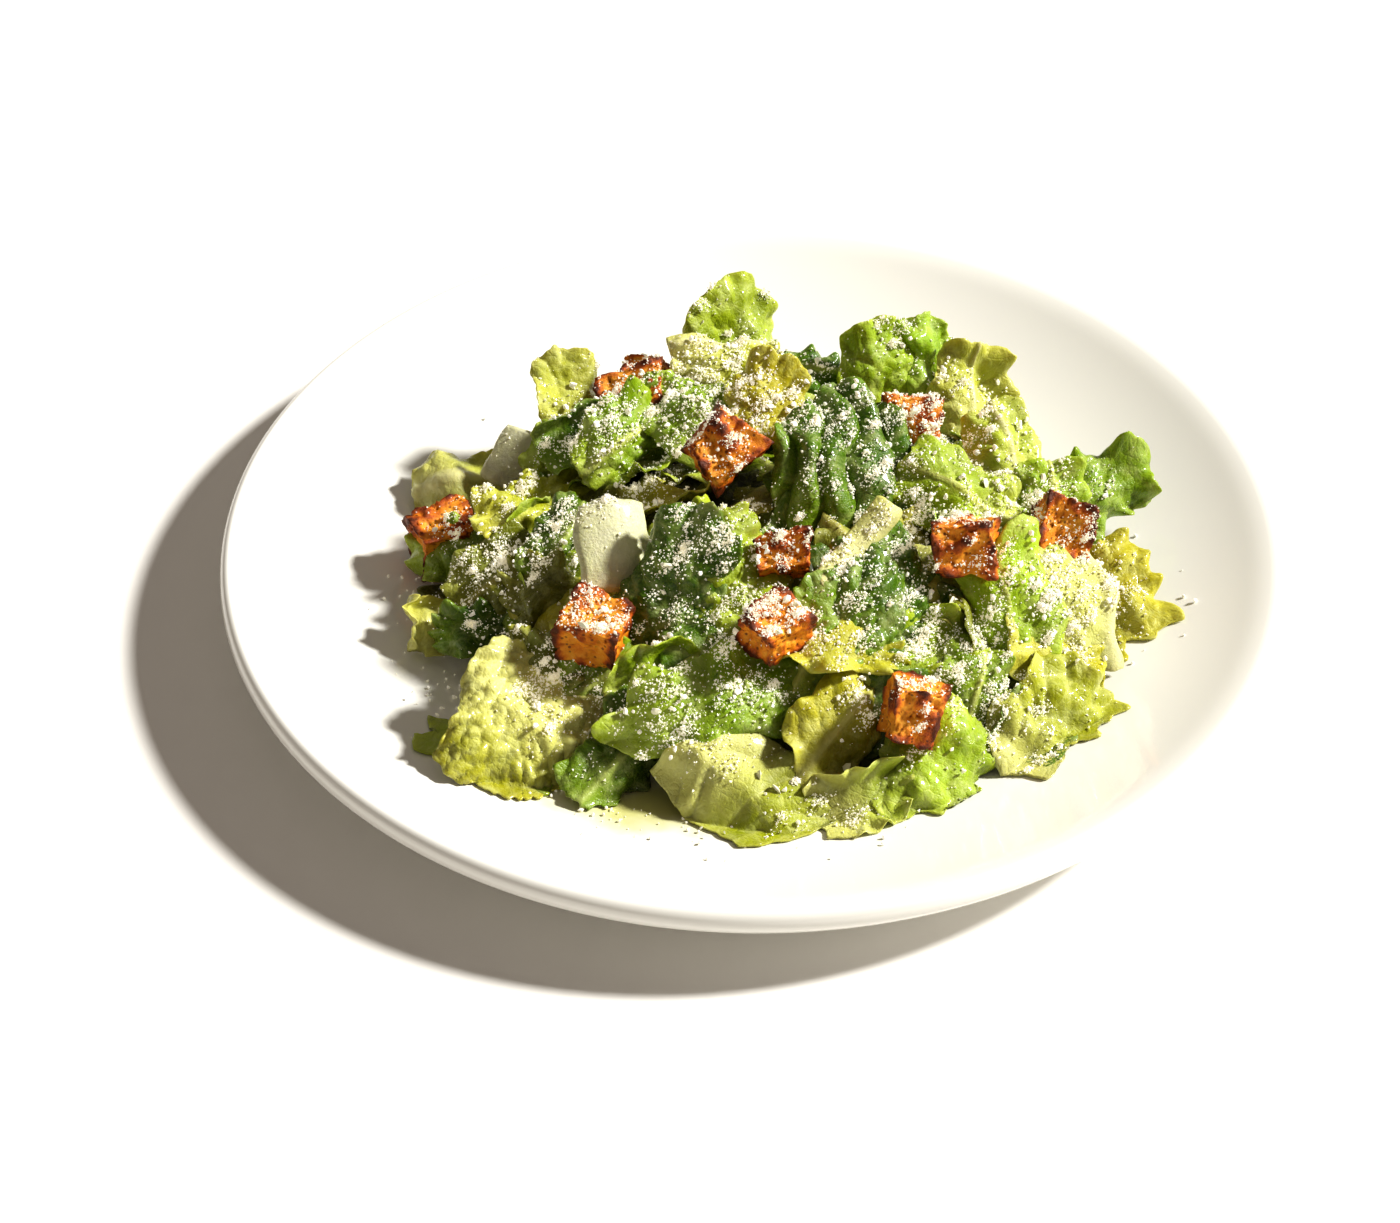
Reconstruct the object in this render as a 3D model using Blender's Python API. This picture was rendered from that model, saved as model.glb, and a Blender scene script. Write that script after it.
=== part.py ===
# Caesar salad on a round white coupe plate.
# Metres, +Z up, origin at the middle of the plate's foot. The side to look at faces -Y.
import math
import random

import bmesh
import bpy
from mathutils import Matrix, Vector

MM = 0.001

# Plate: turned from one profile. The wall steepens to WALL_RADIUS and eases off to the lip.
PLATE_RADIUS = 150.0 * MM
WELL_HEIGHT = 7.0 * MM
WELL_FLAT_RADIUS = 60.0 * MM
WALL_RADIUS = 140.0 * MM
WALL_SLOPE = 0.42
WALL_POWER = 1.3
RIM_SLOPE = 0.2
LIP_HALF_WIDTH = 2.8 * MM
LIP_HALF_HEIGHT = 3.6 * MM
WALL_AT_FOOT = 4.3 * MM
WALL_AT_LIP = 6.9 * MM
FOOT_OUTER_RADIUS = 88.0 * MM
FOOT_INNER_RADIUS = 82.0 * MM
FOOT_DEPTH = 2.4 * MM
FOOT_OUTSIDE_FLARE = 1.2 * MM
FOOT_FLARE_HEIGHT = 1.7 * MM
FOOT_INSIDE_FLARE = 1.5 * MM
WELL_MIDDLE_RING = 30.0 * MM
PLATE_SEGMENTS = 64
PLATE_WALL_STEPS = 7
PLATE_RIM_STEPS = 2
LIP_STEPS = 6

# Heap of leaves: a polar height field over the plate, out to its uneven outline.
GAP = 0.3 * MM
HEAP_CENTRE = Vector((10.0 * MM, -12.0 * MM))
HEAP_REACH = 98.0 * MM
HEAP_RISE = 43.0 * MM
HEAP_EDGE = 3.4 * MM
HEAP_DOME_POWER = 0.62
EDGE_STEEPNESS = 2.1
EDGE_POWER = 0.5
HEAP_SEGMENTS = 76
HEAP_RINGS = 22
HEAP_UNDERSIDE_RUNS = (1.0, 0.9, 0.78, 0.62, 0.4)
LEAF_END_SPREAD = 1.5
# Outline lobes: direction in degrees, extra reach in mm, half width in degrees.
OUTLINE_LOBES = (
    (158, 15, 13), (-150, 14, 15), (-91, 7, 9), (-66, 4, 8), (-44, 4, 9),
    (18, 15, 14), (120, 5, 12), (74, 3, 12), (-117, -3, 6), (-77, -4, 5), (-6, -5, 8),
)
# Large leaves standing out of the heap, all in mm and degrees: x, y, half length,
# half width, turn of the length, top height, rise along the length, fall at the edges.
LEAVES = (
    (-6, 59, 17, 6, 0, 69, 0, 14),
    (-8, 44, 18, 7, -16, 60, -3, 8),
    (24, -14, 26, 22, 80, 64, 4, 7),
    (-17, -50, 27, 20, 75, 57, 5, 8),
    (-36, -38, 13, 8, 60, 57, 3, 6),
    (36, -56, 21, 14, 8, 53, 4, 6),
    (56, -8, 17, 12, -40, 57, 3, 6),
    (72, 8, 16, 9, 70, 52, 3, 6),
    (48, 44, 15, 9, 60, 53, 4, 7),
    (66, 38, 13, 9, 40, 47, 3, 6),
    (-50, 46, 13, 10, 80, 45, 4, 7),
    (-54, 12, 20, 8, 30, 53, 3, 7),
    (-68, -10, 17, 9, 10, 43, 4, 6),
    (-80, 34, 15, 10, 25, 30, 3, 5),
    (-61, -73, 25, 17, 30, 33, 5, 6),
    (-2, -90, 33, 12, -6, 41, 4, 6),
    (1, -106, 18, 11, 70, 25, 6, 5),
    (50, -96, 18, 13, 20, 28, 4, 5),
    (72, -58, 22, 10, 80, 45, 3, 6),
    (83, -74, 20, 12, 35, 28, 4, 5),
    (102, -24, 17, 11, 60, 32, 3, 5),
    (101, 12, 20, 10, 18, 37, 4, 6),
)

# Croutons, all in mm and degrees: name, x, y, height of the middle, three sizes,
# spin about the crouton's own axis, tilt towards the front, heading.
CROUTONS = (
    ("crouton_left", -87.0, 1.0, 19.6, 19, 18, 18, 18, 6, 8),
    ("crouton_back_small", -32.0, 51.5, 39.5, 15, 11, 12, 8, 22, -14),
    ("crouton_back", -34.5, 33.0, 45.5, 20, 16, 15, 24, 36, -10),
    ("crouton_top", -8.5, -3.5, 57.0, 19, 18, 15, 43, 48, 6),
    ("crouton_right_upper", 44.0, 12.0, 52.0, 17, 17, 14, -10, 52, 8),
    ("crouton_right", 57.0, -36.5, 49.0, 19, 15, 18, 4, 62, -6),
    ("crouton_far_right", 84.5, -16.0, 38.5, 18, 19, 14, -24, 56, 10),
    ("crouton_middle", 9.0, -38.0, 47.5, 16, 13, 13, 12, 30, -8),
    ("crouton_front_middle", 6.5, -65.0, 46.5, 17, 16, 16, 38, 14, 8),
    ("crouton_front_left", -42.5, -58.5, 38.0, 18, 17, 18, 28, 24, 18),
    ("crouton_front_right", 43.0, -82.5, 32.0, 17, 18, 16, -14, 62, 4),
)
CROUTON_GRID = 3
CROUTON_HOLLOW = 0.12
CROUTON_CORNER = 0.16
CROUTON_UNEVEN = 0.21
CROUTON_ROUGHNESS = 0.3 * MM
# Heap kept low round each crouton, as shares of its longest side, and the seat cut for it.
POCKET_RADIUS = 0.72
POCKET_LIFT = 0.12
SEAT_GAP = 0.4 * MM


def clearScene():
    for thing in list(bpy.data.objects):
        bpy.data.objects.remove(thing)


def makeMaterial(name, colour, roughness):
    material = bpy.data.materials.new(name)
    material.use_nodes = True
    shader = material.node_tree.nodes["Principled BSDF"]
    shader.inputs["Base Color"].default_value = (*colour, 1.0)
    shader.inputs["Roughness"].default_value = roughness
    return material


def addObject(name, mesh, material, smooth):
    for polygon in mesh.polygons:
        polygon.use_smooth = smooth
    mesh.materials.append(material)
    thing = bpy.data.objects.new(name, mesh)
    bpy.context.collection.objects.link(thing)
    return thing


def meshFromFaces(name, points, faces):
    mesh = bpy.data.meshes.new(name)
    mesh.from_pydata(points, [], faces)
    work = bmesh.new()
    work.from_mesh(mesh)
    bmesh.ops.recalc_face_normals(work, faces=work.faces)
    work.to_mesh(mesh)
    work.free()
    return mesh


def wellSurface(radius):
    """Height of the plate's eating surface at a radius."""
    wallRun = WALL_RADIUS - WELL_FLAT_RADIUS
    run = max(0.0, min(1.0, (radius - WELL_FLAT_RADIUS) / wallRun))
    height = WELL_HEIGHT + WALL_SLOPE * wallRun / (WALL_POWER + 1.0) * run ** (WALL_POWER + 1.0)
    beyond = max(0.0, radius - WALL_RADIUS)
    rimRun = PLATE_RADIUS - LIP_HALF_WIDTH - WALL_RADIUS
    easing = (WALL_SLOPE - RIM_SLOPE) * beyond * beyond / (2.0 * rimRun)
    return height + WALL_SLOPE * beyond - easing


def lipProfile():
    """Rounded lip, from the end of the eating surface over the outside to its underside."""
    middleRadius = PLATE_RADIUS - LIP_HALF_WIDTH
    middleHeight = wellSurface(middleRadius) - LIP_HALF_HEIGHT
    profile = []
    for step in range(LIP_STEPS + 1):
        angle = math.pi * (0.5 - step / LIP_STEPS)
        radius = middleRadius + LIP_HALF_WIDTH * math.cos(angle)
        height = middleHeight + LIP_HALF_HEIGHT * math.sin(angle)
        profile.append((radius, height))
    return profile


def undersideProfile():
    """Outside wall from the lip down to the foot ring, then the hollow inside the foot."""
    start = PLATE_RADIUS - LIP_HALF_WIDTH
    profile = []
    for step in range(1, PLATE_WALL_STEPS):
        run = step / PLATE_WALL_STEPS
        radius = start + (FOOT_OUTER_RADIUS - start) * run
        wall = WALL_AT_FOOT + (WALL_AT_LIP - WALL_AT_FOOT) * (1.0 - run) ** 3
        profile.append((radius, max(wellSurface(radius) - wall, FOOT_DEPTH)))
    profile.append((FOOT_OUTER_RADIUS + FOOT_OUTSIDE_FLARE, FOOT_FLARE_HEIGHT))
    profile.append((FOOT_OUTER_RADIUS, 0.0))
    profile.append((FOOT_INNER_RADIUS, 0.0))
    profile.append((FOOT_INNER_RADIUS - FOOT_INSIDE_FLARE, FOOT_DEPTH))
    return profile


def plateProfile():
    """Radius and height pairs from the well's middle out over the lip to the underside."""
    profile = [(WELL_MIDDLE_RING, WELL_HEIGHT)]
    for step in range(PLATE_WALL_STEPS):
        radius = WELL_FLAT_RADIUS + (WALL_RADIUS - WELL_FLAT_RADIUS) * step / PLATE_WALL_STEPS
        profile.append((radius, wellSurface(radius)))
    rimEnd = PLATE_RADIUS - LIP_HALF_WIDTH
    for step in range(PLATE_RIM_STEPS):
        radius = WALL_RADIUS + (rimEnd - WALL_RADIUS) * step / PLATE_RIM_STEPS
        profile.append((radius, wellSurface(radius)))
    return profile + lipProfile() + undersideProfile()


def turnedMesh(name, profile, topHeight, bottomHeight, segments):
    """Turns a profile about Z and closes it with one point at each end of the axis."""
    points = [(0.0, 0.0, topHeight), (0.0, 0.0, bottomHeight)]
    for radius, height in profile:
        for segment in range(segments):
            angle = 2.0 * math.pi * segment / segments
            points.append((radius * math.cos(angle), radius * math.sin(angle), height))
    faces = []
    last = (len(profile) - 1) * segments
    for segment in range(segments):
        following = (segment + 1) % segments
        faces.append((0, 2 + segment, 2 + following))
        faces.append((1, 2 + last + following, 2 + last + segment))
        for ring in range(len(profile) - 1):
            near = 2 + ring * segments
            far = near + segments
            faces.append((near + segment, far + segment, far + following, near + following))
    return meshFromFaces(name, points, faces)


def outlineReach(angle):
    """Distance from the heap's centre to its outline in one direction."""
    reach = HEAP_REACH
    for direction, extra, width in OUTLINE_LOBES:
        away = (math.degrees(angle) - direction + 180.0) % 360.0 - 180.0
        reach += extra * MM * math.exp(-((away / width) ** 2))
    return reach


def leafHeight(leaf, x, y):
    """Height of one large leaf over a point, or zero beside it."""
    leafX, leafY, halfLength, halfWidth, turn, top, rise, fall = leaf
    direction = math.radians(turn)
    awayX = x / MM - leafX
    awayY = y / MM - leafY
    along = (awayX * math.cos(direction) + awayY * math.sin(direction)) / halfLength
    across = (awayY * math.cos(direction) - awayX * math.sin(direction)) / halfWidth
    spread = along * along + across * across
    if spread > LEAF_END_SPREAD:
        return 0.0
    return (top + rise * along - fall * spread) * MM


def croutonPocket(x, y, height):
    """Keeps the heap low enough round each crouton for its top to stand clear."""
    for crouton in CROUTONS:
        away = math.hypot(x / MM - crouton[1], y / MM - crouton[2])
        size = max(crouton[4:7])
        if away < POCKET_RADIUS * size:
            height = min(height, (crouton[3] + POCKET_LIFT * size) * MM)
    return height


def heapTop(x, y, run):
    """Top of the heap over a point, where run goes from 0 at the centre to 1 at the outline."""
    floor = wellSurface(math.hypot(x, y)) + GAP + HEAP_EDGE
    height = floor + HEAP_RISE * (1.0 - run * run) ** HEAP_DOME_POWER
    edgeLimit = floor + HEAP_RISE * EDGE_STEEPNESS * (1.0 - run) ** EDGE_POWER + HEAP_EDGE
    for leaf in LEAVES:
        height = max(height, min(leafHeight(leaf, x, y), edgeLimit))
    return croutonPocket(x, y, height)


def heapPoint(segment, run):
    angle = 2.0 * math.pi * segment / HEAP_SEGMENTS
    reach = outlineReach(angle) * run
    x = HEAP_CENTRE.x + reach * math.cos(angle)
    y = HEAP_CENTRE.y + reach * math.sin(angle)
    return x, y


def heapMesh(name):
    """Closed solid between the plate and the uneven top of the leaves."""
    runs = [(ring + 1) / HEAP_RINGS for ring in range(HEAP_RINGS)]
    centreX, centreY = HEAP_CENTRE
    floor = wellSurface(math.hypot(centreX, centreY)) + GAP
    points = [(centreX, centreY, heapTop(centreX, centreY, 0.0)), (centreX, centreY, floor)]
    for run in runs:
        for segment in range(HEAP_SEGMENTS):
            x, y = heapPoint(segment, run)
            points.append((x, y, heapTop(x, y, run)))
    for run in HEAP_UNDERSIDE_RUNS:
        for segment in range(HEAP_SEGMENTS):
            x, y = heapPoint(segment, run)
            points.append((x, y, wellSurface(math.hypot(x, y)) + GAP))
    faces = []
    ringCount = len(runs) + len(HEAP_UNDERSIDE_RUNS)
    last = (ringCount - 1) * HEAP_SEGMENTS
    for segment in range(HEAP_SEGMENTS):
        following = (segment + 1) % HEAP_SEGMENTS
        faces.append((0, 2 + segment, 2 + following))
        faces.append((1, 2 + last + following, 2 + last + segment))
        for ring in range(ringCount - 1):
            near = 2 + ring * HEAP_SEGMENTS
            far = near + HEAP_SEGMENTS
            faces.append((near + segment, far + segment, far + following))
            faces.append((near + segment, far + following, near + following))
    return meshFromFaces(name, points, faces)


def hollowedCubePoint(corner):
    """Draws the faces and edges of a unit cube in and blunts its corners."""
    x, y, z = corner
    blunt = 1.0 - CROUTON_CORNER * abs(x * y * z) ** 3
    squares = (1.0 - x * x, 1.0 - y * y, 1.0 - z * z)
    moved = []
    for axis in range(3):
        others = squares[(axis + 1) % 3] + squares[(axis + 2) % 3]
        moved.append(corner[axis] * blunt * (1.0 - CROUTON_HOLLOW * others / 2.0))
    return Vector(moved)


def unevenCorners(name):
    """How far each corner of one crouton's cube is drawn out or in."""
    dice = random.Random(name)
    corners = {}
    for x in (-1, 1):
        for y in (-1, 1):
            for z in (-1, 1):
                shift = [dice.uniform(-CROUTON_UNEVEN, CROUTON_UNEVEN) for axis in range(3)]
                corners[(x, y, z)] = Vector(shift)
    return corners


def cornerShift(corners, point):
    """Blends the eight corners' shifts over the unit cube."""
    total = Vector((0.0, 0.0, 0.0))
    for (x, y, z), shift in corners.items():
        share = (1.0 + x * point[0]) * (1.0 + y * point[1]) * (1.0 + z * point[2]) / 8.0
        total += shift * share
    return total


def croutonTurn(crouton):
    spin, tilt, heading = (math.radians(angle) for angle in crouton[7:10])
    return (
        Matrix.Rotation(heading, 3, "Z")
        @ Matrix.Rotation(tilt, 3, "X")
        @ Matrix.Rotation(spin, 3, "Z")
    )


def croutonMesh(name, crouton, growth):
    """Irregular cube of toast, grown on every side by a clearance."""
    work = bmesh.new()
    bmesh.ops.create_cube(work, size=2.0)
    bmesh.ops.subdivide_edges(
        work, edges=list(work.edges), cuts=CROUTON_GRID - 1, use_grid_fill=True
    )
    bmesh.ops.triangulate(work, faces=list(work.faces))
    dice = random.Random(crouton[0])
    corners = unevenCorners(crouton[0])
    turn = croutonTurn(crouton)
    middle = Vector(crouton[1:4]) * MM
    half = Vector(crouton[4:7]) * MM / 2.0
    for vertex in work.verts:
        shaped = hollowedCubePoint(vertex.co) + cornerShift(corners, vertex.co)
        rough = Vector([dice.uniform(-1.0, 1.0) for axis in range(3)]) * CROUTON_ROUGHNESS
        scaled = Vector([shaped[axis] * (half[axis] + growth) for axis in range(3)])
        vertex.co = middle + turn @ (scaled + rough)
    mesh = bpy.data.meshes.new(name)
    work.to_mesh(mesh)
    work.free()
    return mesh


def cutPocket(heap, crouton, material):
    """Cuts a crouton's seat out of the heap with a clearance all round."""
    name = crouton[0] + "_seat"
    cutter = addObject(name, croutonMesh(name, crouton, SEAT_GAP), material, False)
    cutter.hide_render = True
    cutter.display_type = "WIRE"
    cut = heap.modifiers.new(name, "BOOLEAN")
    cut.operation = "DIFFERENCE"
    cut.solver = "EXACT"
    cut.object = cutter


def build():
    clearScene()
    glaze = makeMaterial("white_glaze", (0.86, 0.86, 0.84), 0.12)
    leafGreen = makeMaterial("romaine", (0.22, 0.36, 0.05), 0.4)
    toast = makeMaterial("toasted_bread", (0.48, 0.17, 0.03), 0.7)
    plate = turnedMesh("plate", plateProfile(), WELL_HEIGHT, FOOT_DEPTH, PLATE_SEGMENTS)
    addObject("plate", plate, glaze, True)
    heap = addObject("salad_heap", heapMesh("salad_heap"), leafGreen, False)
    for crouton in CROUTONS:
        addObject(crouton[0], croutonMesh(crouton[0], crouton, 0.0), toast.copy(), False)
        cutPocket(heap, crouton, toast)


build()
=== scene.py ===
import itertools
import math
import random

import bpy
import numpy as np
from mathutils import Matrix, Quaternion, Vector, noise
from mathutils.bvhtree import BVHTree


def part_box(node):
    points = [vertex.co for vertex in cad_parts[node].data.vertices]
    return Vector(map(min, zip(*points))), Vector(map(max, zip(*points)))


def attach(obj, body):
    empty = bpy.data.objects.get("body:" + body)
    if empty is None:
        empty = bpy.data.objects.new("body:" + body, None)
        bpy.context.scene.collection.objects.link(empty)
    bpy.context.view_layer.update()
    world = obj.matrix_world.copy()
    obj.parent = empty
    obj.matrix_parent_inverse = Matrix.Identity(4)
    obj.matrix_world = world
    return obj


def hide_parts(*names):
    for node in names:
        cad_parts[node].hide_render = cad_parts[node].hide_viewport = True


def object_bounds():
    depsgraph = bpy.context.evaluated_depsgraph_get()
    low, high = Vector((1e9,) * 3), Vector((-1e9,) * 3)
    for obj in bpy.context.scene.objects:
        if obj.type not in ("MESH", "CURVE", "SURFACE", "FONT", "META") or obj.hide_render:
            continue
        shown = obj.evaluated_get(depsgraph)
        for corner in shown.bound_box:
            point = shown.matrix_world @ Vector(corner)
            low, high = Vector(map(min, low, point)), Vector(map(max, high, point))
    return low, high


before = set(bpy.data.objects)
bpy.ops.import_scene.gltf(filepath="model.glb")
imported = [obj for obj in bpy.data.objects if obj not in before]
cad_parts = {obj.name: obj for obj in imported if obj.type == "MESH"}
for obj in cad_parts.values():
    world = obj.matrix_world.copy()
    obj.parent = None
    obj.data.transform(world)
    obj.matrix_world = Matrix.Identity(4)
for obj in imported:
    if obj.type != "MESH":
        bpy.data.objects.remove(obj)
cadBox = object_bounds()
mm = 0.001
body = "root"
topMost = cadBox[1].z / mm


def toLinear(hexText):
    values = []
    for start in (1, 3, 5):
        level = int(hexText[start:start + 2], 16) / 255.0
        # the sRGB standard's own curve
        values.append(level / 12.92 if level <= 0.04045 else ((level + 0.055) / 1.055) ** 2.4)
    return tuple(values) + (1.0,)


def addNode(tree, kind, settings=None, links=None):
    node = tree.nodes.new("ShaderNode" + kind)
    for key, value in (settings or {}).items():
        if key == "stops":
            ramp = node.color_ramp
            while len(ramp.elements) < len(value):
                ramp.elements.new(0.5)
            for element, (place, colour) in zip(ramp.elements, value):
                element.position = place
                element.color = colour
        elif isinstance(key, int) or key in node.inputs:
            node.inputs[key].default_value = value
        else:
            setattr(node, key, value)
    for key, (source, output) in (links or {}).items():
        tree.links.new(source.outputs[output], node.inputs[key])
    return node


def startMaterial(name):
    material = bpy.data.materials.new(name)
    material.use_nodes = True
    tree = material.node_tree
    tree.nodes.clear()
    return material, tree


def smoothStep(low, high, value):
    part = np.clip((value - low) / (high - low), 0.0, 1.0)
    return part * part * (3.0 - 2.0 * part)


def gridQuads(columns, rows):
    index = np.arange(columns * rows).reshape(columns, rows)
    quads = np.stack([index[:-1, :-1], index[1:, :-1], index[1:, 1:], index[:-1, 1:]], -1)
    return index, quads.reshape(-1, 4)


def ringQuads(rings, segments):
    index = np.arange(rings * segments).reshape(rings, segments)
    following = np.roll(index, -1, 1)
    quads = np.stack([index[:-1], index[1:], following[1:], following[:-1]], -1)
    return index, following, quads.reshape(-1, 4)


def meshPiece(name, points, faces, material, tones=None, marks=None):
    mesh = bpy.data.meshes.new(name)
    mesh.from_pydata(np.asarray(points) * mm, [], faces)
    mesh.polygons.foreach_set("use_smooth", np.ones(len(mesh.polygons), bool))
    if tones is not None:
        tone = mesh.color_attributes.new("tone", "FLOAT_COLOR", "POINT")
        tone.data.foreach_set("color", np.asarray(tones, np.float32).ravel())
    if marks is not None:
        mark = mesh.attributes.new("bladeMm", "FLOAT_VECTOR", "POINT")
        mark.data.foreach_set("vector", np.asarray(marks, np.float32).ravel())
    mesh.materials.append(material)
    piece = bpy.data.objects.new(name, mesh)
    bpy.context.scene.collection.objects.link(piece)
    return piece


plateSettings = {
    "segments": 224,
    "wallSteps": 44,
    "lipSteps": 16,
    "wellHeight": 7.0,
    "flatRadius": 60.0,
    "wallRadius": 140.0,
    "wallSlope": 0.42,
    "wallPower": 1.3,
    "rimSlope": 0.2,
    "lipHalfWidth": 2.8,
    "lipHalfHeight": 3.6,
    "wallAtFoot": 4.3,
    "wallAtLip": 6.9,
    "footOuter": 88.0,
    "footInner": 82.0,
    "footDepth": 2.4,
    # the foot's section: how far out from its outer or inner edge, and height
    "footOutside": [(1.2, 1.7), (0.2, 0.35), (-0.4, 0.0)],
    "footInside": [(0.5, 0.0), (0.0, 0.3), (-0.6, 1.68), (-1.5, 2.4)],
    "axisRadius": 0.0001,    # closes the turned body at its axis
    "wellRing": 30.0,
    "glazeHex": "#f3f2ec",
}
# a thin film of dressing in the well, and painted shade tinted yellow-green by light through the leaves over it
oilAndShadeSettings = {"middle": (-20.0, -96.0), "reach": (42.0, 16.0), "amount": 0.85, "hex": "#c4c25c"}
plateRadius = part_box("plate")[1].x / mm
lipMiddle = plateRadius - plateSettings["lipHalfWidth"]


def wellSurface(radius):
    settings = plateSettings
    power = settings["wallPower"] + 1.0
    wallRun = settings["wallRadius"] - settings["flatRadius"]
    run = np.clip((radius - settings["flatRadius"]) / wallRun, 0.0, 1.0)
    beyond = np.maximum(0.0, radius - settings["wallRadius"])
    easing = (settings["wallSlope"] - settings["rimSlope"]) * beyond ** 2
    easing = easing / (2.0 * (lipMiddle - settings["wallRadius"]))
    climb = settings["wallSlope"] * wallRun / power * run ** power
    return settings["wellHeight"] + climb + settings["wallSlope"] * beyond - easing


def plateProfile():
    settings = plateSettings
    profile = [(settings[key], settings["wellHeight"]) for key in ("axisRadius", "wellRing")]
    for radius in np.linspace(settings["flatRadius"], lipMiddle, settings["wallSteps"], endpoint=False):
        profile.append((radius, float(wellSurface(radius))))
    lipHeight = float(wellSurface(lipMiddle)) - settings["lipHalfHeight"]
    for angle in np.linspace(math.pi / 2, -math.pi / 2, settings["lipSteps"]):
        profile.append((lipMiddle + settings["lipHalfWidth"] * math.cos(angle),
                        lipHeight + settings["lipHalfHeight"] * math.sin(angle)))
    for run in np.linspace(0.0, 1.0, settings["wallSteps"])[1:-1]:
        radius = lipMiddle + (settings["footOuter"] - lipMiddle) * run
        wall = settings["wallAtFoot"] + (settings["wallAtLip"] - settings["wallAtFoot"]) * (1.0 - run) ** 3
        profile.append((radius, max(float(wellSurface(radius)) - wall, settings["footDepth"])))
    profile += [(settings["footOuter"] + out, height) for out, height in settings["footOutside"]]
    profile += [(settings["footInner"] + out, height) for out, height in settings["footInside"]]
    return profile + [(settings["axisRadius"], settings["footDepth"])]


def turnedPiece(name, profile, segments, material):
    profile = np.array(profile)
    turns = np.linspace(0.0, 2.0 * math.pi, segments, endpoint=False)
    radius = profile[:, 0][:, None]
    heights = np.repeat(profile[:, 1][:, None], segments, 1)
    points = np.stack([radius * np.cos(turns), radius * np.sin(turns), heights], -1).reshape(-1, 3)
    index, _, walls = ringQuads(len(profile), segments)
    faces = walls.tolist() + [index[0].tolist(), index[-1][::-1].tolist()]
    return meshPiece(name, points, faces, material)


# Fired clear glaze over white porcelain: a very smooth gloss with a faint warm white under it.
def porcelainGlaze():
    material, tree = startMaterial("porcelainGlaze")
    coords = addNode(tree, "TexCoord")
    onPlate = {"Vector": (coords, "Object")}
    flow = addNode(tree, "TexNoise", {"Scale": 22.0, "Detail": 1.0}, onPlate)
    # glaze settles in ripples some 45 mm long
    relief = addNode(tree, "Bump", {"Strength": 0.04, "Distance": 0.0008}, {"Height": (flow, 0)})
    # oil and leaf juices drained into the well under the front of the heap, with painted shade there tinted
    # yellow-green as light through the leaves
    middle, reach = oilAndShadeSettings["middle"], oilAndShadeSettings["reach"]
    spread = addNode(tree, "Mapping", {
        "Location": (-middle[0] / reach[0], -middle[1] / reach[1], 0.0),
        "Scale": (1 / mm / reach[0], 1 / mm / reach[1], 0.0)},
        onPlate)
    away = addNode(tree, "VectorMath", {"operation": "LENGTH"}, {0: (spread, 0)})
    uneven = addNode(tree, "TexNoise", {"Scale": 70.0, "Detail": 3.0}, onPlate)
    wavered = addNode(tree, "Math", {"operation": "MULTIPLY_ADD", 1: 0.9},
        {0: (uneven, "Fac"), 2: (away, "Value")})
    oilAndShadeMask = addNode(tree, "MapRange", {
        "interpolation_type": "SMOOTHSTEP", "From Min": 0.7, "From Max": 1.5,
        "To Min": oilAndShadeSettings["amount"], "To Max": 0.0},
        {"Value": (wavered, 0)})
    tinted = addNode(tree, "Mix", {
        "data_type": "RGBA", 6: toLinear(plateSettings["glazeHex"]), 7: toLinear(oilAndShadeSettings["hex"])},
        {0: (oilAndShadeMask, 0)})
    shader = addNode(tree, "BsdfPrincipled", {
        "Roughness": 0.12, "IOR": 1.5, "Coat Weight": 0.5, "Coat Roughness": 0.04},
        {"Base Color": (tinted, 2), "Normal": (relief, 0)})
    addNode(tree, "OutputMaterial", {}, {"Surface": (shader, 0)})
    return material


plate = turnedPiece("porcelainPlate", plateProfile(), plateSettings["segments"], porcelainGlaze())
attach(plate, body)
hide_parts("plate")
print("plate turned")


# Colours of each sort of leaf: blade, pale part by the rib, edge, rib.
leafTones = {
    "dark": ("#426406", "#7e9a20", "#56780e", "#b4c06c"),
    "green": ("#74940a", "#a6b83a", "#88a41c", "#c8cc78"),
    "bright": ("#8ca60e", "#b6c24a", "#a2b62c", "#ccce80"),
    "yellow": ("#a6a20a", "#c2be4e", "#b4b030", "#d2ce80"),
    "pale": ("#a8b034", "#ccca76", "#bcbe56", "#dad6a0"),
    "olive": ("#5e6409", "#8e8e30", "#70761a", "#b0a85a"),
    "heart": ("#9aa40c", "#d6d484", "#b0b436", "#e0dca6"),
    "rib": ("#b8ba7c", "#cccca4", "#b8ba80", "#d0ceb0"),
}
# What every leaf starts from. Lengths in mm, angles in degrees.
leafDefaults = {
    "round": 0.65,       # 0 is a square torn piece, 1 an oval one
    "torn": 0.06,        # unevenness of the torn outline
    "notch": 0.012,      # fine raggedness of the edge
    "crease": 2.5,       # depth of the fold along the rib and of another at any lean
    "crumple": 0.9,      # soft dents some 14 mm long
    "flick": 4.0,        # how far one side curls up, and one end half as far
    "bendLong": -14.0,   # bend over half the length, positive cups towards the face
    "bendWide": -22.0,
    "ruffle": 1.7,
    "waves": 7,
    "pleat": 0.8,
    "pleatStep": 7.5,
    "veinLean": 0.9,     # how far a side vein runs along for each mm out from the rib
    "blister": 1.3,
    "blisterSize": 6.5,
    "warp": 1.6,
    "ribWidth": 0.0,
    "ribSide": 0.0,      # where the rib lies across the leaf, -1 to 1
    "ribRaise": 0.6,
    "ribThick": 1.4,
    "thick": 0.55,
    "paleReach": 0.22,   # how far up from the base the pale part comes, 0 to 1
    "grid": (40, 36),
}
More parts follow.
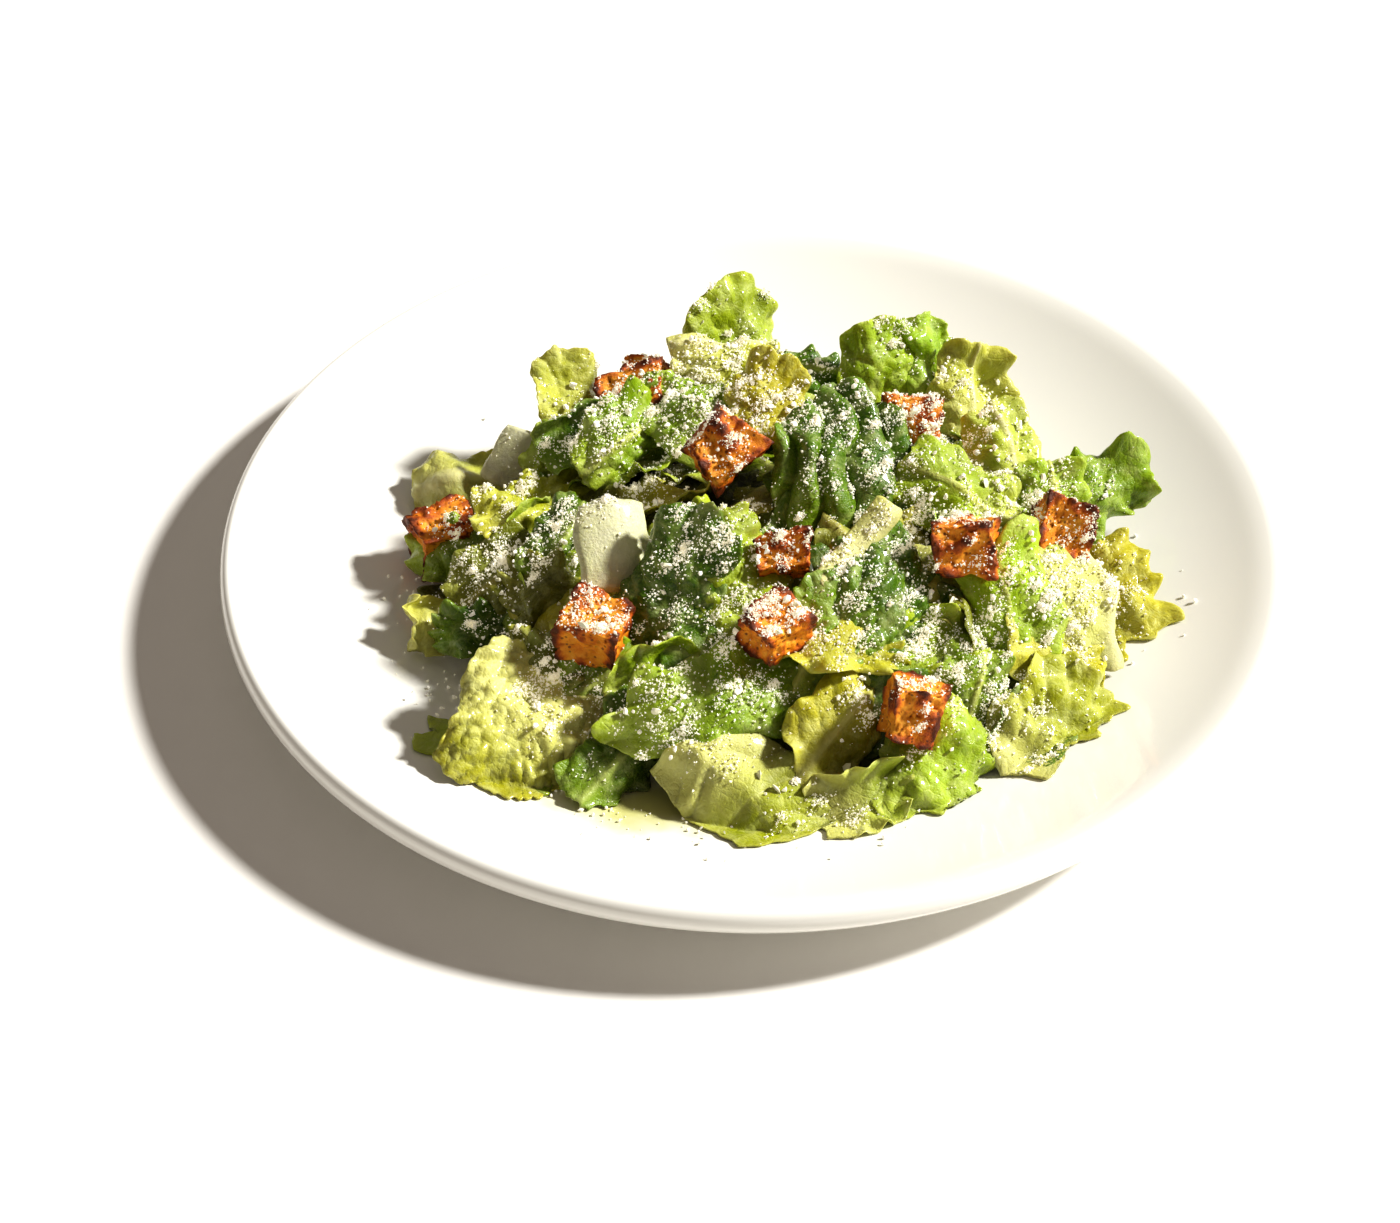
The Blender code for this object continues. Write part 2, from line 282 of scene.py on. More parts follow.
# How the surface of any leaf is built up. Lengths in mm.
bladeSettings = {
    "anyPhase": 6.3,    # a little over a full turn, in radians
    "rippleLengths": (0.7, 1.5),    # each wave's length, as a share of the one asked for
    "blisterStray": 0.45, "blisterRound": 0.6, "tornWaves": range(2, 7), "notchWaves": (13, 21, 34),
    "ribWander": 0.8, "ribWanderSize": 40.0,
    "ribBase": 1.25,    # width at the base and what is lost by the tip, as shares of ribWidth
    "ribTaper": 0.75, "ribLimits": (0.2, 1.3), "ribLeast": 0.01,
    "besideRib": 4.0,    # how far out from a rib the pleats reach their full height
    "veinWander": 0.22, "veinWanderSize": 22.0, "veinRound": 0.7, "blisterLong": 0.8,
    "smallBlister": 0.3,    # height and size as shares of those of the large ones
    "smallBlisterSize": 0.45, "warpSize": 34.0, "crumpleSize": 14.0, "grainHeight": 0.12,
    "grainSize": 4.0, "creaseStray": 0.3, "creaseShare": (0.4, 1.0), "flickSide": (0.35, 1.05),
    "flickEnd": (0.5, 1.05), "ruffleUneven": 1.4, "ruffleFine": 0.25, "ruffleFineRate": 2.3,
    "edgeThin": 0.35, "edgeBand": (1.0, 0.85), "paleBand": (0.3, -0.25), "paleByRib": 0.55,
    "paleByRibReach": 2.4,
}
# How much of each leaf tone comes through.
toneSettings = {
    "shades": (0.9, 1.1), "tint": 0.08, "pale": 0.85, "vein": 0.36, "veinFall": 8.0, "rib": 0.75,
    # the two depth entries paint shade onto leaves that lie deep in the heap
    "colourSeed": 5000, "paintedDepthShade": 0.5, "paintedShadeDepths": (-16.0, -4.0), "markSpread": 400,
}
# How far leaves keep from the glaze, the rim and the part's own top, in mm.
leafGaps = {"face": 0.4, "back": 0.35, "rim": 138.0, "top": 0.6, "topShare": 0.1}
# What sets one kind of torn piece apart from the rest.
leafKinds = {
    "savoy": {"blister": 1.7, "blisterSize": 6.5},
    "crisp": {"blister": 1.2, "ribWidth": 1.9, "ribThick": 0.9, "pleat": 1.1},
    "pleated": {"pleat": 2.2, "pleatStep": 8.5, "blister": 0.6, "ribWidth": 3.0, "veinLean": 1.8},
    "frilled": {"ruffle": 2.4, "waves": 10, "blister": 1.3, "notch": 0.018, "torn": 0.07},
    "heart": {"blister": 0.5, "pleat": 0.8, "ribWidth": 4.0, "paleReach": 0.45, "ruffle": 1.2},
    "ribPiece": {
        "blister": 0.1, "pleat": 0.12, "ribWidth": 24.0, "ribThick": 1.5, "thick": 2.6, "paleReach": 1.4,
        "ruffle": 0.2, "warp": 0.5, "round": 0.3, "torn": 0.04, "notch": 0.004, "crease": 0.0, "crumple": 0.1,
        "flick": 0.0},
    "rolled": {"bendWide": 80.0, "blister": 0.9, "ruffle": 1.6},
}


def bent(along, off, half, degrees):
    if abs(degrees) < 1.0:    # too little to bend
        return along, off
    rate = math.radians(degrees) / half
    return (1.0 / rate - off) * np.sin(rate * along), 1.0 / rate - (1.0 / rate - off) * np.cos(rate * along)


def ripple(x, y, size, dice, parts=5):
    total = np.zeros_like(x)
    for part in range(parts):
        turn, phase = dice.uniform(0, 2 * math.pi, 2)
        wave = 2 * math.pi / (size * dice.uniform(*bladeSettings["rippleLengths"]))
        total += np.sin((x * math.cos(turn) + y * math.sin(turn)) * wave + phase)
    return total / math.sqrt(parts)


def blisterHeight(x, y, size, dice):
    columns = np.arange(x.min() - size, x.max() + size, size)
    rows = np.arange(y.min() - size, y.max() + size, size)
    seeds = np.stack(np.meshgrid(columns, rows), -1).reshape(-1, 2)
    stray = bladeSettings["blisterStray"]
    seeds = seeds + dice.uniform(-stray, stray, seeds.shape) * size
    away = np.hypot(x[..., None] - seeds[:, 0], y[..., None] - seeds[:, 1])
    nearest = np.partition(away, 1, axis=-1)[..., :2]
    return np.clip((nearest[..., 1] - nearest[..., 0]) / size, 0.0, 1.0) ** bladeSettings["blisterRound"]


def leafFrame(facing, rise, spin):
    facing, rise, spin = (math.radians(angle) for angle in (facing, rise, spin))
    normal = Vector((math.cos(rise) * math.cos(facing), math.cos(rise) * math.sin(facing), math.sin(rise)))
    level = Vector((0, 0, 1)).cross(normal).normalized()
    upward = normal.cross(level)
    lengthwise = level * math.cos(spin) + upward * math.sin(spin)
    return np.array([lengthwise, normal.cross(lengthwise), normal])


def tornOutline(leaf, a, b, edge, dice):
    x = a * (1 - leaf["round"] * (1 - np.sqrt(1 - b * b / 2)))
    y = b * (1 - leaf["round"] * (1 - np.sqrt(1 - a * a / 2)))
    turn = np.arctan2(y, x)
    torn = np.ones_like(a)
    coarse = [(wave, leaf["torn"], 2) for wave in bladeSettings["tornWaves"]]
    fine = [(wave, leaf["notch"], 6) for wave in bladeSettings["notchWaves"]]
    for wave, depth, power in coarse + fine:
        strength = depth * dice.uniform(-1, 1)
        torn += strength * np.sin(wave * turn + dice.uniform(0, bladeSettings["anyPhase"])) * edge ** power
    return x * torn * leaf["size"][0] / 2, y * torn * leaf["size"][1] / 2, turn


def leafRelief(leaf, x, y, a, b, ribY, dice):
    blade = bladeSettings
    halfWide = leaf["size"][1] / 2
    side = 1 - np.exp(-abs(ribY) / blade["besideRib"])
    # side veins wander, so that no two pleats are the same width
    swept = x - abs(ribY) * leaf["veinLean"]
    swept = swept + blade["veinWander"] * leaf["pleatStep"] * ripple(x, y, blade["veinWanderSize"], dice)
    vein = abs(np.sin(math.pi * swept / leaf["pleatStep"]))
    height = leaf["pleat"] * vein ** blade["veinRound"] * side
    blisters = blisterHeight(swept * blade["blisterLong"], ribY, leaf["blisterSize"], dice)
    height += leaf["blister"] * blisters * side
    small = blisterHeight(x, y, leaf["blisterSize"] * blade["smallBlisterSize"], dice)
    height += blade["smallBlister"] * leaf["blister"] * small
    warp = leaf["warp"] * ripple(x, y, blade["warpSize"], dice)
    height += warp + leaf["crumple"] * ripple(x, y, blade["crumpleSize"], dice)
    height += blade["grainHeight"] * leaf["blister"] * ripple(x, y, blade["grainSize"], dice)
    lean = dice.uniform(0, math.pi)
    stray = dice.uniform(-blade["creaseStray"], blade["creaseStray"])
    across = (x * math.cos(lean) + y * math.sin(lean) + stray * halfWide) / halfWide
    sides = dice.choice([-1, 1], 2)
    curl = smoothStep(*blade["flickSide"], sides[0] * b) + smoothStep(*blade["flickEnd"], sides[1] * a) / 2
    height += leaf["flick"] * curl
    height -= leaf["crease"] * (abs(ribY) / halfWide + dice.uniform(*blade["creaseShare"]) * abs(across))
    return height, vein * blisters


def leafSheet(leaf):
    blade = bladeSettings
    dice = np.random.default_rng(leaf["seed"])
    columns, rows = leaf["grid"]
    halfLong, halfWide = leaf["size"][0] / 2, leaf["size"][1] / 2
    a, b = np.meshgrid(np.linspace(-1, 1, columns), np.linspace(-1, 1, rows), indexing="ij")
    edge = np.maximum(abs(a), abs(b))
    x, y, turn = tornOutline(leaf, a, b, edge, dice)
    upBlade = (x / halfLong + 1) / 2
    ribY = y - leaf["ribSide"] * halfWide + blade["ribWander"] * ripple(x, y, blade["ribWanderSize"], dice)
    ribHalf = np.clip(blade["ribBase"] - blade["ribTaper"] * upBlade, *blade["ribLimits"])
    ribHalf = leaf["ribWidth"] / 2 * ribHalf + blade["ribLeast"]
    rib = np.exp(-(ribY / ribHalf) ** 2) if leaf["ribWidth"] > 0 else np.zeros_like(x)
    height, relief = leafRelief(leaf, x, y, a, b, ribY, dice)
    wobble = leaf["waves"] * turn + dice.uniform(0, blade["anyPhase"])
    wobble = wobble + blade["ruffleUneven"] * np.sin(2 * turn + dice.uniform(0, blade["anyPhase"]))
    ruffle = np.sin(wobble) + blade["ruffleFine"] * np.sin(blade["ruffleFineRate"] * wobble)
    height += leaf["ruffle"] * edge ** 4 * ruffle
    height += leaf["ribRaise"] * rib
    across, lift = bent(y, height, halfWide, leaf["bendWide"])
    lengthwise, lift = bent(x, lift, halfLong, leaf["bendLong"])
    sheet = np.stack([lengthwise, across, lift], -1)
    normal = np.cross(np.gradient(sheet, axis=0), np.gradient(sheet, axis=1))
    normal /= np.linalg.norm(normal, axis=-1, keepdims=True) + 1e-9
    thinned = blade["edgeThin"] + (1 - blade["edgeThin"]) * smoothStep(*blade["edgeBand"], edge)
    thick = (leaf["thick"] + leaf["ribThick"] * rib) * thinned
    top = sheet + normal * thick[..., None] / 2
    bottom = sheet - normal * thick[..., None] / 2
    pale = smoothStep(*(leaf["paleReach"] + shift for shift in blade["paleBand"]), upBlade)
    byRib = np.exp(-(ribY / (ribHalf * blade["paleByRibReach"])) ** 2) * (leaf["ribWidth"] > 0)
    pale = np.clip(pale + blade["paleByRib"] * byRib, 0, 1)
    return top, bottom, edge, rib, pale, relief, np.stack([x, ribY], -1)


def leafColours(leaf, edge, rib, paleness, relief, dice):
    blade, pale, rim, ribTone = (np.array(toLinear(text)[:3]) for text in leafTones[leaf["tone"]])
    share = toneSettings
    shade = dice.uniform(*share["shades"]) * (1 + share["tint"] * dice.uniform(-1, 1, 3))
    colour = blade * shade
    colour = colour + (rim - blade) * (edge ** 6)[..., None]
    colour = colour + (pale - colour) * (share["pale"] * paleness)[..., None]
    colour = colour + (pale - colour) * (share["vein"] * np.exp(-relief * share["veinFall"]))[..., None]
    return colour + (ribTone - colour) * (share["rib"] * rib)[..., None]


def settled(points, lift):
    # keeps leaves on the plate's glaze and inside the part's own height
    radius = np.hypot(points[..., 0], points[..., 1])
    rim = leafGaps["rim"]
    over = np.where(radius > rim, rim / radius, 1.0)
    points[..., 0] *= over
    points[..., 1] *= over
    low = wellSurface(np.minimum(radius, rim)) + lift
    points[..., 2] = np.clip(points[..., 2], low, topMost - leafGaps["top"] + lift * leafGaps["topShare"])
    return points


def leafSolid(leaf):
    leaf = {**leafDefaults, **leafKinds[leaf["kind"]], **leaf}
    top, bottom, edge, rib, paleness, relief, marks = leafSheet(leaf)
    dice = np.random.default_rng(leaf["seed"] + toneSettings["colourSeed"])
    colour = leafColours(leaf, edge, rib, paleness, relief, dice)
    turn = leafFrame(*leaf["face"])
    place = np.array(leaf["at"])
    top = settled(top @ turn + place, leafGaps["face"] + leaf["thick"])
    depth = top[..., 2] - heapSurface(top[..., 0], top[..., 1])
    # painted shade: leaves deep in the heap are darkened, as the heap over them would shade them
    paintedDepthShade = toneSettings["paintedDepthShade"]
    colour = colour * (paintedDepthShade + (1 - paintedDepthShade) * smoothStep(*toneSettings["paintedShadeDepths"], depth))[..., None]
    bottom = settled(bottom @ turn + place, leafGaps["back"])
    index, quads = gridQuads(*edge.shape)
    ring = np.concatenate([index[:-1, 0], index[-1, :-1], index[:0:-1, -1], index[0, :0:-1]])
    following = np.roll(ring, -1)
    count = edge.size
    skirt = np.stack([ring + count, following + count, following, ring], -1)
    faces = np.concatenate([quads, quads[:, ::-1] + count, skirt])
    points = np.concatenate([top.reshape(-1, 3), bottom.reshape(-1, 3)])
    tones = np.concatenate([colour.reshape(-1, 3)] * 2)
    tones = np.concatenate([tones, np.ones((len(tones), 1))], 1)
    marks = marks.reshape(-1, 2) + dice.uniform(0, toneSettings["markSpread"], 2)
    marks = np.concatenate([np.concatenate([marks] * 2), np.tile(rib.reshape(-1, 1), (2, 1))], 1)
    return points, faces, tones, marks


def joinedSolids(solids):
    points, faces, tones, marks, offset = [], [], [], [], 0
    for solid in solids:
        points.append(solid[0])
        faces.append(solid[1] + offset)
        tones.append(solid[2])
        marks.append(solid[3])
        offset += len(solid[0])
    return [np.concatenate(part) for part in (points, faces, tones, marks)]


# Living leaf with a waxy skin, torn and tossed in dressing: light passes through the thin blade
# and comes out yellower, side veins show pale, and the wet film gives small sharp glints.
def leafBlade(name, wetness, filmAmount, glow):
    material, tree = startMaterial(name)
    tone = addNode(tree, "Attribute", {"attribute_name": "tone"})
    blade = addNode(tree, "Attribute", {"attribute_name": "bladeMm"})
    onBlade = {"Vector": (blade, "Vector")}
    # net of fine veins, cells about 2.6 mm across
    net = addNode(tree, "TexVoronoi", {"feature": "DISTANCE_TO_EDGE", "Scale": 0.38}, onBlade)
    netMask = addNode(tree, "MapRange", {"From Max": 0.12, "To Min": 1.0, "To Max": 0.0},
        {"Value": (net, "Distance")})
    # the net is faint, and fades out on thick ribs
    parts = addNode(tree, "SeparateXYZ", {}, {0: (blade, "Vector")})
    offRib = addNode(tree, "Math", {"operation": "MULTIPLY_ADD", 1: -0.2, 2: 0.2}, {0: (parts, "Z")})
    veinShare = addNode(tree, "Math", {"operation": "MULTIPLY"}, {0: (netMask, 0), 1: (offRib, 0)})
    veined = addNode(tree, "Mix", {"data_type": "RGBA", "blend_type": "SCREEN", 7: (0.2, 0.22, 0.03, 1.0)},
                     {0: (veinShare, 0), 6: (tone, "Color")})
    # thicker and thinner parts of the blade, some 11 mm across
    patch = addNode(tree, "TexNoise", {"Scale": 0.09, "Detail": 3.0, "Roughness": 0.6}, onBlade)
    patchLevel = addNode(tree, "MapRange", {"From Min": 0.3, "From Max": 0.7, "To Min": 0.78,
        "To Max": 1.2}, {"Value": (patch, "Fac")})
    mottled = addNode(tree, "Mix", {"data_type": "RGBA", "blend_type": "MULTIPLY", 0: 1.0},
        {6: (veined, 2), 7: (patchLevel, 0)})
    # thin film of creamy dressing in patches some 6 mm across
    smear = addNode(tree, "TexNoise", {"Scale": 0.17, "Detail": 5.0, "Roughness": 0.7, "Distortion": 0.6},
        onBlade)
    smearMask = addNode(tree, "MapRange", {"From Min": 0.46, "From Max": 0.66, "To Max": filmAmount},
        {"Value": (smear, "Fac")})
    filmed = addNode(tree, "Mix", {"data_type": "RGBA", 7: toLinear("#dadf9c")},
        {0: (smearMask, 0), 6: (mottled, 2)})
    fine = addNode(tree, "TexNoise", {"Scale": 0.9, "Detail": 4.0, "Roughness": 0.65}, onBlade)
    heightSum = addNode(tree, "Math", {"operation": "SUBTRACT"}, {0: (fine, "Fac"), 1: (veinShare, 0)})
    relief = addNode(tree, "Bump", {"Strength": 0.8, "Distance": 0.0005}, {"Height": (heightSum, 0)})
    rough = addNode(tree, "MapRange", {"From Min": 0.3, "From Max": 0.75, "To Min": wetness,
        "To Max": wetness + 0.28}, {"Value": (fine, "Fac")})
    shader = addNode(tree, "BsdfPrincipled", {
        "IOR": 1.42, "Subsurface Weight": glow, "Subsurface Radius": (1.0, 0.9, 0.5),
        "Subsurface Scale": 0.001,
        "Coat Weight": 0.3, "Coat Roughness": 0.1, "Specular IOR Level": 0.35},
        {"Base Color": (filmed, 2), "Normal": (relief, 0), "Roughness": (rough, 0)})
    addNode(tree, "OutputMaterial", {}, {"Surface": (shader, 0)})
    return material


# Torn pieces that show. Each: kind, tone, centre in mm, (direction it faces, rise, spin), (length, width)
# and its own settings.
shownLeaves = [
    ("savoy", "bright", (-4, 58, 47), (-52, 30, 82), (38, 34), {
        "round": 0.9, "bendWide": -34, "crease": 1.2}),
    ("crisp", "heart", (-7, 39, 55), (-62, 62, -14), (36, 17), {
        "ribSide": 0.8, "round": 0.4, "paleReach": 0.3, "bendWide": -14, "flick": 1.0}),
    ("crisp", "dark", (16, 47, 46), (-60, 56, -24), (24, 14), {"bendWide": -40}),
    ("savoy", "pale", (-53, 47, 36), (-46, 40, 80), (28, 24), {"round": 0.6, "bendWide": -20}),
    ("heart", "pale", (-86, 27, 19), (-100, 66, 20), (30, 24), {"blister": 1.0}),
    ("ribPiece", "rib", (-69, 26, 28), (-100, 46, 70), (18, 14), {"thick": 1.6}),
    ("savoy", "bright", (-58, 24, 34), (-84, 50, 60), (20, 16), {}),
    ("rolled", "dark", (-47, 20, 44), (-70, 66, 12), (32, 17), {"bendWide": 60}),
    ("crisp", "green", (-36, 11, 47), (-66, 54, 25), (32, 22), {"bendWide": -40}),
    ("frilled", "yellow", (-60, -2, 35), (-60, 62, 6), (38, 20), {
        "bendWide": -38, "pleat": 1.2, "pleatStep": 5, "blister": 0.5}),
    ("pleated", "dark", (31, -9, 50), (-66, 46, 30), (46, 56), {
        "pleat": 4.6, "pleatStep": 14.0, "veinLean": 1.1, "ribSide": -0.78, "ribWidth": 6.0,
        "ribRaise": 1.6, "bendLong": -34, "bendWide": -26, "blister": 0.4, "crease": 0.8, "flick": 0.0,
        "grid": (66, 72)}),
    ("rolled", "dark", (9, -6, 52), (-90, 46, 80), (34, 14), {"bendWide": -70, "flick": 0.0}),
    ("ribPiece", "rib", (-37, -36, 48), (-60, 44, 74), (26, 21), {"bendWide": -16, "bendLong": -6}),
    ("ribPiece", "pale", (28, -39, 51), (-60, 50, 29), (32, 9), {
        "ribWidth": 9.0, "thick": 1.2, "bendWide": -50, "bendLong": 16}),
    ("savoy", "dark", (-22, -53, 41), (-108, 40, 86), (58, 26), {
        "blister": 2.0, "bendWide": -50, "crease": 0.5, "grid": (64, 40)}),
    ("savoy", "bright", (-5, -49, 42), (-62, 44, 82), (56, 26), {
        "blister": 2.4, "bendWide": -60, "bendLong": -24, "crease": 0.5, "grid": (66, 44)}),
    ("crisp", "bright", (57, -10, 47), (-60, 52, 132), (36, 29), {
        "pleatStep": 6.4, "round": 0.45, "ribWidth": 1.4, "flick": 1.5}),
    ("crisp", "pale", (73, 12, 42), (-56, 46, 82), (36, 26), {"paleReach": 0.3, "bendWide": -34}),
    ("savoy", "bright", (36, 44, 47), (-70, 38, 84), (30, 23), {"bendWide": -46}),
    ("savoy", "bright", (50, 50, 45), (-66, 30, 80), (30, 22), {"bendWide": -50}),
    ("crisp", "pale", (63, 42, 40), (-62, 38, 66), (32, 26), {"paleReach": 0.4, "ribWidth": 1.4}),
    ("frilled", "green", (99, 14, 28), (-72, 50, 14), (36, 24), {
        "bendWide": -30, "waves": 7, "ruffle": 3.0}),
    ("frilled", "yellow", (103, -20, 21), (-56, 58, 82), (34, 24), {"paleReach": 0.25, "ruffle": 1.8}),
    ("savoy", "dark", (36, -51, 44), (-48, 58, 8), (46, 34), {
        "blister": 3.0, "blisterSize": 9.0, "bendWide": -50, "bendLong": -34, "crease": 1.0,
        "grid": (62, 50)}),
    ("crisp", "bright", (70, -49, 36), (-74, 46, 92), (50, 28), {
        "pleatStep": 6.0, "ribWidth": 0.8, "bendWide": -50}),
    ("heart", "pale", (87, -37, 33), (-44, 52, 66), (46, 30), {
        "ribWidth": 6.0, "ribSide": -0.75, "ribRaise": 1.2, "crumple": 0.3, "flick": 0.0, "round": 0.35,
        "bendWide": -16, "paleReach": 0.8}),
    ("savoy", "heart", (82, -71, 19), (-56, 54, 24), (42, 30), {
        "blister": 1.9, "bendWide": -30, "bendLong": -22, "ruffle": 2.4}),
    ("savoy", "bright", (50, -91, 21), (-66, 50, 54), (40, 34), {
        "bendWide": -50, "bendLong": -24, "round": 0.8, "flick": 2.0}),
    ("heart", "heart", (-1, -101, 21), (-84, 54, -58), (40, 31), {
        "pleat": 2.0, "pleatStep": 10.0, "veinLean": 0.5, "crease": 6.0, "ribWidth": 0.0, "blister": 0.2,
        "ruffle": 1.4, "round": 0.1, "bendLong": -6, "bendWide": 4, "flick": 0.0, "crumple": 0.3,
        "warp": 0.8, "torn": 0.05, "grid": (64, 54)}),
    ("frilled", "pale", (29, -101, 18), (-80, 60, 14), (30, 18), {
        "paleReach": 0.5, "bendWide": 30, "blister": 0.4}),
    ("crisp", "yellow", (24, -84, 27), (-74, 54, 40), (34, 24), {"bendWide": -30}),
    ("crisp", "green", (-4, -79, 33), (-76, 56, 4), (72, 25), {
        "bendWide": -52, "ribWidth": 0.0, "ruffle": 2.6, "crease": 1.0, "pleat": 1.6, "pleatStep": 12.0,
        "grid": (80, 40)}),
    ("savoy", "heart", (-59, -80, 24), (-58, 58, 216), (46, 39), {
        "blister": 1.9, "blisterSize": 4.6, "pleat": 0.2, "crease": 0.6, "paleReach": 0.6, "round": 0.3,
        "bendLong": -30, "flick": 0.0, "bendWide": -12, "crumple": 0.4, "grid": (72, 60)}),
    ("frilled", "olive", (-52, -62, 31), (-80, 60, 30), (30, 20), {}),
    ("crisp", "dark", (-33, -88, 20), (-70, 52, 30), (36, 24), {"bendWide": -46}),
    ("rolled", "pale", (-91, -34, 17), (-70, 46, 70), (17, 14), {"paleReach": 0.7}),
    ("frilled", "bright", (-68, -82, 13), (-90, 62, -24), (48, 20), {}),
    ("crisp", "olive", (-70, -26, 27), (-90, 58, 40), (34, 24), {}),
    ("frilled", "olive", (-57, -36, 31), (-104, 58, -20), (30, 20), {}),
    ("crisp", "dark", (-52, -20, 37), (-80, 60, 60), (30, 20), {}),
    ("frilled", "dark", (-76, -40, 21), (-100, 60, 10), (28, 14), {}),
    ("frilled", "yellow", (24, -64, 40), (-66, 74, -20), (38, 20), {}),
    ("savoy", "green", (-18, 20, 50), (-76, 56, 130), (34, 24), {"bendWide": -34}),
    ("savoy", "yellow", (4, 22, 55), (-76, 54, 60), (28, 22), {"paleReach": 0.2}),
    ("crisp", "bright", (84, -4, 36), (-60, 54, 70), (30, 22), {}),
    ("crisp", "green", (60, -70, 28), (-62, 52, 60), (30, 22), {}),
    ("frilled", "green", (-84, -8, 22), (-110, 58, 20), (30, 18), {}),
]

heapSettings = {"middle": (10.0, -12.0), "reach": (98.0, 96.0), "rise": 41.0, "power": 0.62, "base": 3.0}
# Plainer leaves that fill the heap under the ones that show. Lengths in mm, angles in degrees.
fillerSettings = {
    "count": 74, "seed": 77, "firstSeed": 200, "spread": 0.93,
    "turnStep": 2.39996,    # the golden angle, in radians
    "sunk": 8.5, "sunkMore": 3.0, "raisedOut": 1.5, "lengths": (30, 46), "shorterOut": 0.25,
    "widths": (0.6, 0.9), "headings": (-40, 40), "rise": 88, "flatterOut": 44, "rises": (-20, 12), "steepest": 84,
    "grid": (27, 24), "bendWide": (-60, 30), "bendLong": (-34, 20),
    # the leaves that show lie alone in front of this, and at the right within this band
    "clearFront": -84.0, "clearRight": 84.0, "clearBand": (-75.0, -28.0),
    "tones": "green bright dark olive yellow pale green bright".split(),
    "kinds": "savoy crisp frilled savoy heart rolled".split(),
}
coreSettings = {
    "shrink": 0.80, "rings": 40, "segments": 120, "inmost": 0.02, "seed": 9,
    # the core's colour is painted shade: near-black green for the deep gaps between leaves
    "crumples": ((14.0, 1.2), (6.0, 0.6)), "below": 3.0, "least": 0.8, "aboveGlaze": 0.4, "hex": "#262c08",
}


def namedLeaf(number, row):
    kind, tone, place, face, size, own = row
    return {"kind": kind, "tone": tone, "at": place, "face": face, "size": size, "seed": number + 1, **own}


def heapPlace(share, turn):
    (middleX, middleY), (reachX, reachY) = heapSettings["middle"], heapSettings["reach"]
    return middleX + reachX * share * np.cos(turn), middleY + reachY * share * np.sin(turn)


def heapSurface(x, y, share=1.0):
    (middleX, middleY), (reachX, reachY) = heapSettings["middle"], heapSettings["reach"]
    away = np.hypot((x - middleX) / (reachX * share), (y - middleY) / (reachY * share))
    dome = heapSettings["rise"] * share * np.clip(1 - away * away, 0, 1) ** heapSettings["power"]
    return wellSurface(np.hypot(x, y)) + heapSettings["base"] + dome


def fillerLeaves():
    settings = fillerSettings
    dice = np.random.default_rng(settings["seed"])
    low, high = settings["clearBand"]
    found = []
    for number in range(settings["count"]):
        share = math.sqrt((number + 0.5) / settings["count"]) * settings["spread"]
        x, y = (float(value) for value in heapPlace(share, number * settings["turnStep"]))
        sunk = settings["sunk"] + settings["sunkMore"] * dice.uniform()
        height = float(heapSurface(x, y)) - sunk + settings["raisedOut"] * share
        if y < settings["clearFront"] or (x > settings["clearRight"] and low < y < high):
            continue
        outward = math.degrees(math.atan2(y - heapSettings["middle"][1], x - heapSettings["middle"][0]))
        length = dice.uniform(*settings["lengths"]) * (1.0 - settings["shorterOut"] * share)
        picked = [settings[key][int(dice.integers(len(settings[key])))] for key in ("kinds", "tones")]
        width = length * dice.uniform(*settings["widths"])
        heading = outward + dice.uniform(*settings["headings"])
        rise = settings["rise"] - settings["flatterOut"] * share + dice.uniform(*settings["rises"])
        found.append({
            "kind": picked[0], "tone": picked[1], "at": (x, y, height), "size": (length, width),
            "seed": settings["firstSeed"] + number, "grid": settings["grid"],
            "face": (heading, min(rise, settings["steepest"]), dice.uniform(0, 360)),
            "bendWide": dice.uniform(*settings["bendWide"]),
            "bendLong": dice.uniform(*settings["bendLong"]),
        })
    return found


def closedSheet(steps, turns):
    # faces of a round sheet of rings with the same sheet under it
    index, following, quads = ringQuads(steps, turns)
    count = steps * turns
    skirt = np.stack([index[-1], index[-1] + count, following[-1] + count, following[-1]], -1)
    faces = np.concatenate([quads, quads[:, ::-1] + count, skirt]).tolist()
    return faces + [index[0].tolist(), (index[0][::-1] + count).tolist()]


def heapCore(material):
    settings = coreSettings
    steps, turns, shrink = settings["rings"], settings["segments"], settings["shrink"]
    runs = np.linspace(settings["inmost"], 1.0, steps)[:, None]
    x, y = heapPlace(shrink * runs, np.linspace(0, 2 * math.pi, turns, endpoint=False)[None, :])
    dice = np.random.default_rng(settings["seed"])
    crumple = sum(ripple(x, y, size, dice) * depth for size, depth in settings["crumples"])
    glaze = wellSurface(np.hypot(x, y))
    height = np.maximum(heapSurface(x, y, shrink) + crumple - settings["below"], glaze + settings["least"])
    sheets = [np.stack([x, y, level], -1).reshape(-1, 3) for level in (height,
        glaze + settings["aboveGlaze"])]
    points = np.concatenate(sheets)
    # painted shade: the core takes the near-black green of the gaps deep in the heap
    tone = np.tile(np.array(toLinear(settings["hex"])), (len(points), 1))
    marks = points * (1.0, 1.0, 0.0)
    return meshPiece("paintedShadeCore", points, closedSheet(steps, turns), material, tone, marks)


